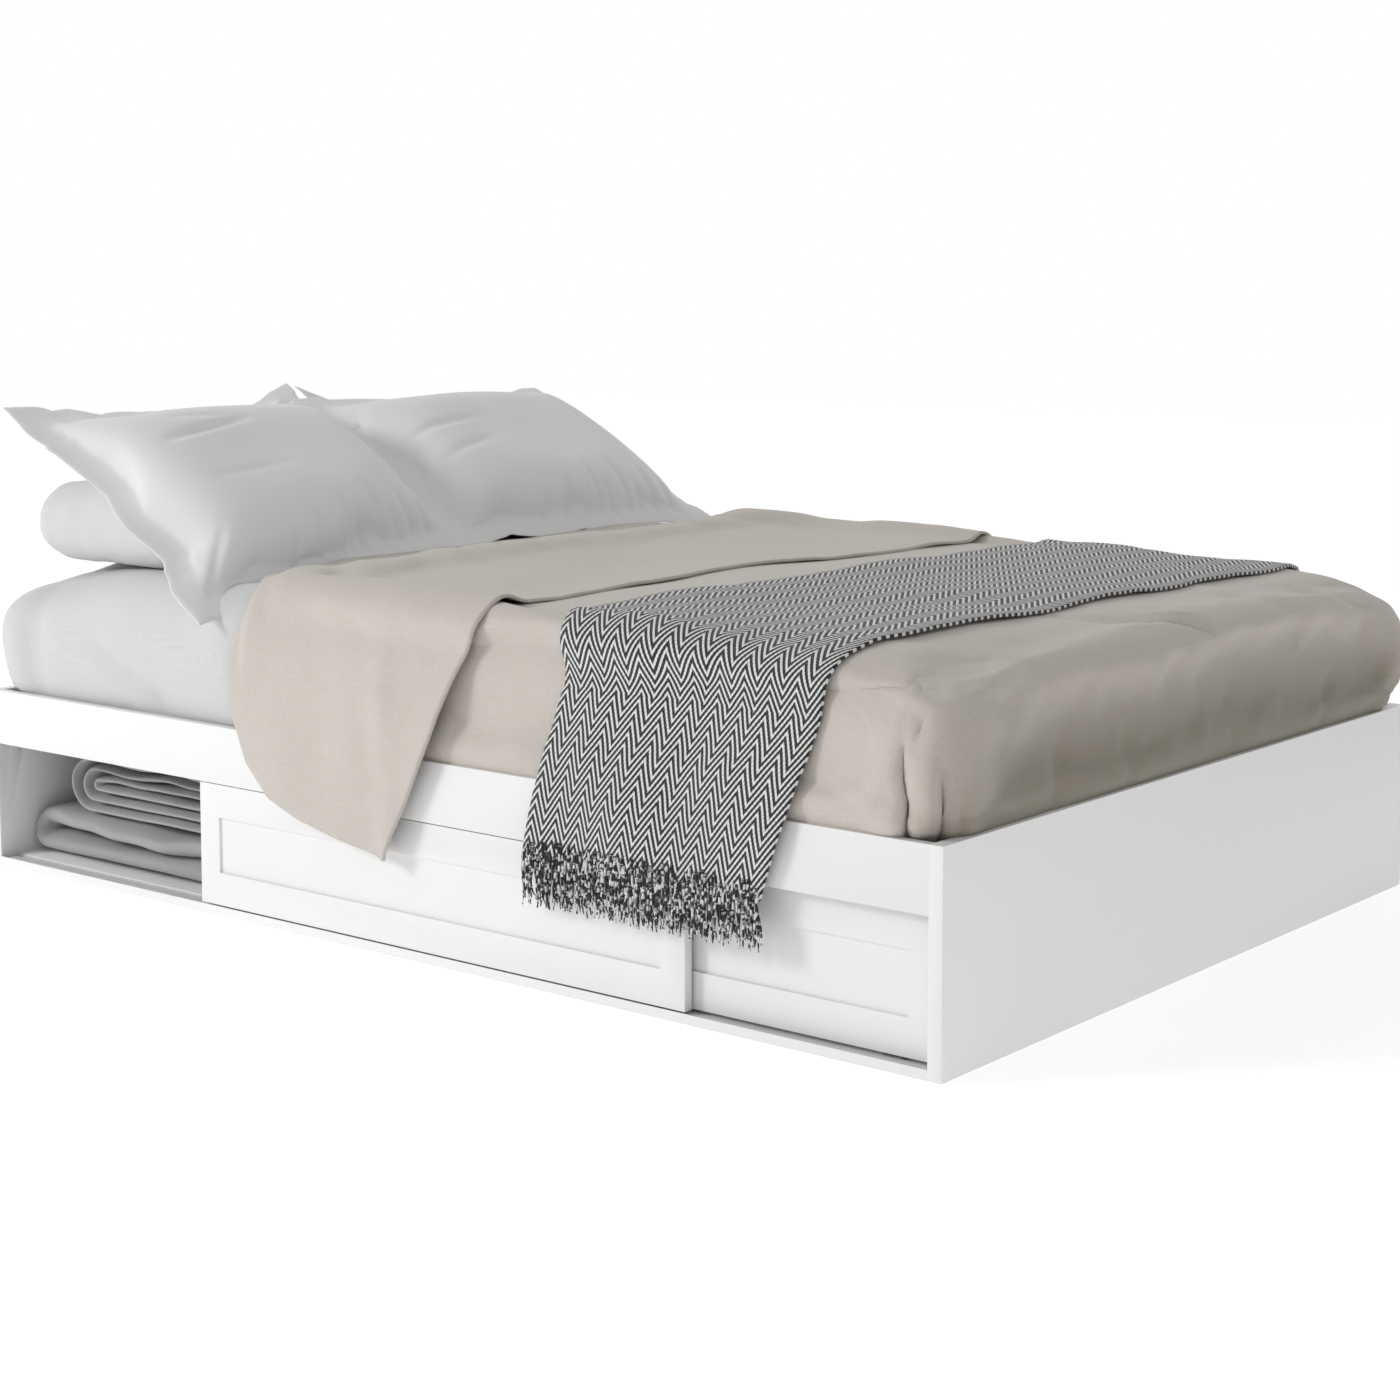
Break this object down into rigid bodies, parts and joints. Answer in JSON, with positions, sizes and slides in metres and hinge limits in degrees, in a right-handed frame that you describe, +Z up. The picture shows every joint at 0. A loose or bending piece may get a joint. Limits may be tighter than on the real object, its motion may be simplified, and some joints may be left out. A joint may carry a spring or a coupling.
{
  "type": "platform bed with storage",
  "caption": "Low white platform bed with by-pass sliding doors over storage on both long sides, made up with mattress, duvet, throw and pillows.",
  "frame": {"origin": "centre of the bed's footprint, on the floor", "axes": "+Z up; +Y along the bed towards the head; +X towards the right-hand long side, seen from the foot"},
  "size_m": [1.464, 2.05, 0.8591],
  "materials": {
    "white_lacquer": "white lacquered fibreboard, satin",
    "white_melamine": "white melamine-faced board, matt",
    "track_plastic": "pale grey extruded plastic",
    "zinc_steel": "zinc-plated steel",
    "zinc_casting": "die-cast zinc",
    "carriage_plastic": "dark grey moulded nylon",
    "wheel_nylon": "natural nylon",
    "pine_slats": "planed pine, unfinished",
    "beech_dowel": "fluted beech",
    "felt_glide": "hard grey plastic glide",
    "fitted_sheet_cotton": "plain woven cotton, light grey",
    "duvet_linen": "beige washed linen",
    "herringbone_wool": "black and white herringbone weave with fringe",
    "pillow_cotton": "plain woven cotton, light grey",
    "blanket_cotton": "quilted white cotton"
  },
  "bodies": {
    "bed": {"head_panel": "white_lacquer", "foot_panel": "white_lacquer", "left_side_rail": "white_lacquer", "right_side_rail": "white_lacquer", "left_header_board": "white_melamine", "right_header_board": "white_melamine", "left_base_board": "white_lacquer", "right_base_board": "white_lacquer", "centre_spine": "white_melamine", "left_cross_divider": "white_melamine", "right_cross_divider": "white_melamine", "left_lower_track": "track_plastic", "right_lower_track": "track_plastic", "left_upper_track": "track_plastic", "right_upper_track": "track_plastic", "slats": "pine_slats", "slat_screws": "zinc_steel", "corner_brackets": "zinc_steel", "bracket_screws": "zinc_steel", "cam_locks": "zinc_casting", "cam_bolts": "zinc_steel", "wood_dowels": "beech_dowel", "floor_glides": "felt_glide", "mattress": "fitted_sheet_cotton", "duvet": "duvet_linen", "duvet_turndown": "duvet_linen", "throw_blanket": "herringbone_wool", "left_flat_pillow": "pillow_cotton", "right_flat_pillow": "pillow_cotton", "left_back_pillow": "pillow_cotton", "right_back_pillow": "pillow_cotton", "left_front_pillow": "pillow_cotton", "right_front_pillow": "pillow_cotton", "lower_folded_blanket": "blanket_cotton", "upper_folded_blanket": "blanket_cotton"},
    "left_outer_leaf": {"left_outer_door": "white_lacquer", "left_outer_carriages": "carriage_plastic", "left_outer_axles": "zinc_steel", "left_outer_guides": "carriage_plastic"},
    "left_outer_foot_wheel_body": {"left_outer_foot_wheel": "wheel_nylon"},
    "left_outer_head_wheel_body": {"left_outer_head_wheel": "wheel_nylon"},
    "left_inner_leaf": {"left_inner_door": "white_lacquer", "left_inner_carriages": "carriage_plastic", "left_inner_axles": "zinc_steel", "left_inner_guides": "carriage_plastic"},
    "left_inner_foot_wheel_body": {"left_inner_foot_wheel": "wheel_nylon"},
    "left_inner_head_wheel_body": {"left_inner_head_wheel": "wheel_nylon"},
    "right_outer_leaf": {"right_outer_door": "white_lacquer", "right_outer_carriages": "carriage_plastic", "right_outer_axles": "zinc_steel", "right_outer_guides": "carriage_plastic"},
    "right_outer_foot_wheel_body": {"right_outer_foot_wheel": "wheel_nylon"},
    "right_outer_head_wheel_body": {"right_outer_head_wheel": "wheel_nylon"},
    "right_inner_leaf": {"right_inner_door": "white_lacquer", "right_inner_carriages": "carriage_plastic", "right_inner_axles": "zinc_steel", "right_inner_guides": "carriage_plastic"},
    "right_inner_foot_wheel_body": {"right_inner_foot_wheel": "wheel_nylon"},
    "right_inner_head_wheel_body": {"right_inner_head_wheel": "wheel_nylon"}
  },
  "joints": [
    {"name": "left_outer_slide", "type": "slide", "parent": "bed", "child": "left_outer_leaf", "axis": [0, 1, 0], "range_m": [-0.414, 0.548]},
    {"name": "left_outer_foot_roll", "type": "hinge", "parent": "left_outer_leaf", "child": "left_outer_foot_wheel_body", "pos_m": [-0.71, -0.518, 0.0213], "axis": [1, 0, 0], "range_deg": [-2637, 1997]},
    {"name": "left_outer_head_roll", "type": "hinge", "parent": "left_outer_leaf", "child": "left_outer_head_wheel_body", "pos_m": [-0.71, 0.384, 0.0213], "axis": [1, 0, 0], "range_deg": [-2637, 1997]},
    {"name": "left_inner_slide", "type": "slide", "parent": "bed", "child": "left_inner_leaf", "axis": [0, 1, 0], "range_m": [0, 0.962]},
    {"name": "left_inner_foot_roll", "type": "hinge", "parent": "left_inner_leaf", "child": "left_inner_foot_wheel_body", "pos_m": [-0.689, -0.932, 0.0213], "axis": [1, 0, 0], "range_deg": [-4613, 20]},
    {"name": "left_inner_head_roll", "type": "hinge", "parent": "left_inner_leaf", "child": "left_inner_head_wheel_body", "pos_m": [-0.689, -0.03, 0.0213], "axis": [1, 0, 0], "range_deg": [-4613, 20]},
    {"name": "right_outer_slide", "type": "slide", "parent": "bed", "child": "right_outer_leaf", "axis": [0, 1, 0], "range_m": [-0.962, 0]},
    {"name": "right_outer_foot_roll", "type": "hinge", "parent": "right_outer_leaf", "child": "right_outer_foot_wheel_body", "pos_m": [0.71, 0.03, 0.0213], "axis": [1, 0, 0], "range_deg": [-20, 4613]},
    {"name": "right_outer_head_roll", "type": "hinge", "parent": "right_outer_leaf", "child": "right_outer_head_wheel_body", "pos_m": [0.71, 0.932, 0.0213], "axis": [1, 0, 0], "range_deg": [-20, 4613]},
    {"name": "right_inner_slide", "type": "slide", "parent": "bed", "child": "right_inner_leaf", "axis": [0, 1, 0], "range_m": [0, 0.962]},
    {"name": "right_inner_foot_roll", "type": "hinge", "parent": "right_inner_leaf", "child": "right_inner_foot_wheel_body", "pos_m": [0.689, -0.932, 0.0213], "axis": [1, 0, 0], "range_deg": [-4613, 20]},
    {"name": "right_inner_head_roll", "type": "hinge", "parent": "right_inner_leaf", "child": "right_inner_head_wheel_body", "pos_m": [0.689, -0.03, 0.0213], "axis": [1, 0, 0], "range_deg": [-4613, 20]}
  ],
  "couplings": [
    {"joint": "left_outer_foot_roll", "follows": "left_outer_slide", "rad_per_m": -83.333},
    {"joint": "left_outer_head_roll", "follows": "left_outer_slide", "rad_per_m": -83.333},
    {"joint": "left_inner_foot_roll", "follows": "left_inner_slide", "rad_per_m": -83.333},
    {"joint": "left_inner_head_roll", "follows": "left_inner_slide", "rad_per_m": -83.333},
    {"joint": "right_outer_foot_roll", "follows": "right_outer_slide", "rad_per_m": -83.333},
    {"joint": "right_outer_head_roll", "follows": "right_outer_slide", "rad_per_m": -83.333},
    {"joint": "right_inner_foot_roll", "follows": "right_inner_slide", "rad_per_m": -83.333},
    {"joint": "right_inner_head_roll", "follows": "right_inner_slide", "rad_per_m": -83.333}
  ]
}
